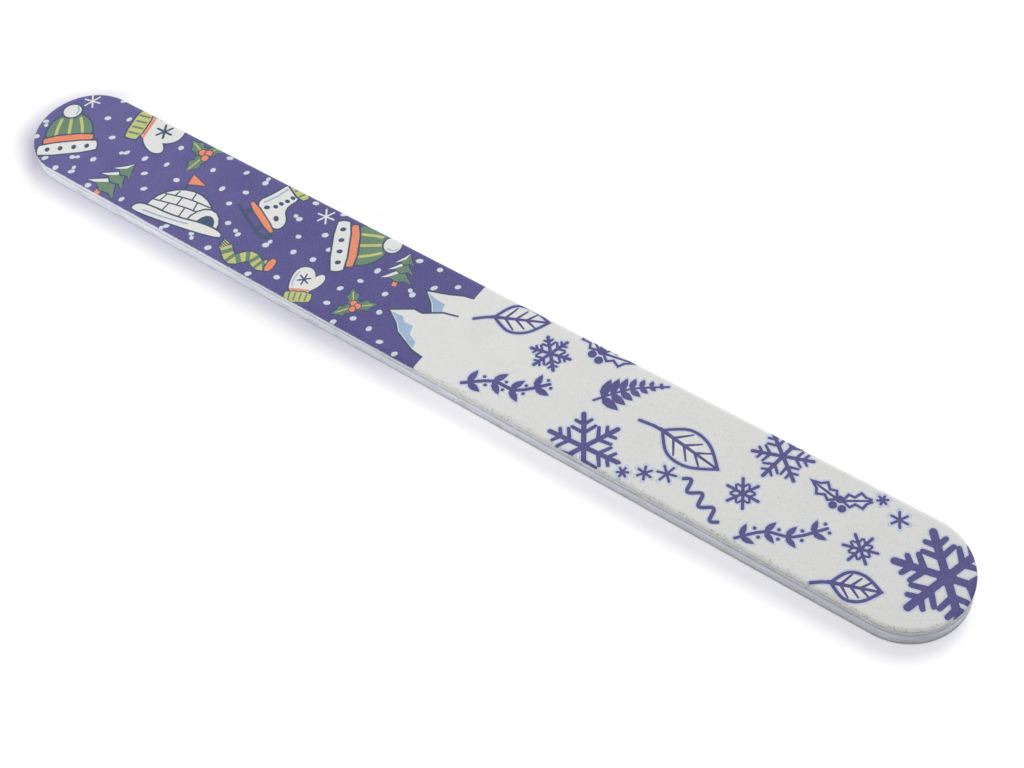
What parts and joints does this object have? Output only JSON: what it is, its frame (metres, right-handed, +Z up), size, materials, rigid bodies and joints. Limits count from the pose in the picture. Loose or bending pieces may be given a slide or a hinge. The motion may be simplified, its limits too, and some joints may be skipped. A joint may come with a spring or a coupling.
{
  "type": "emery board",
  "caption": "Flat cushioned nail file with straight sides and full-round ends, laminated from abrasive paper, foam and a stiff core.",
  "frame": {"origin": "centre of the underside, on the surface that the file lies on", "axes": "+X along the length, towards the half with the pale ground; +Y across the width; +Z up through the printed working face"},
  "size_m": [0.178, 0.0188, 0.0037],
  "materials": {
    "abrasive_coat": "matte",
    "clear_abrasive_coat": "matte",
    "backing_paper": "matte",
    "printed_paper": "matte",
    "glue_film": "satin",
    "cushion_foam": "matte",
    "core_plastic": "satin"
  },
  "bodies": {
    "root": {"bottom_grit_coat": "abrasive_coat", "bottom_abrasive_paper": "backing_paper", "bottom_paper_glue": "glue_film", "bottom_foam_cushion": "cushion_foam", "bottom_core_glue": "glue_film", "core_board": "core_plastic", "top_core_glue": "glue_film", "top_foam_cushion": "cushion_foam", "top_paper_glue": "glue_film", "top_printed_paper": "printed_paper", "top_grit_coat": "clear_abrasive_coat"}
  },
  "joints": []
}
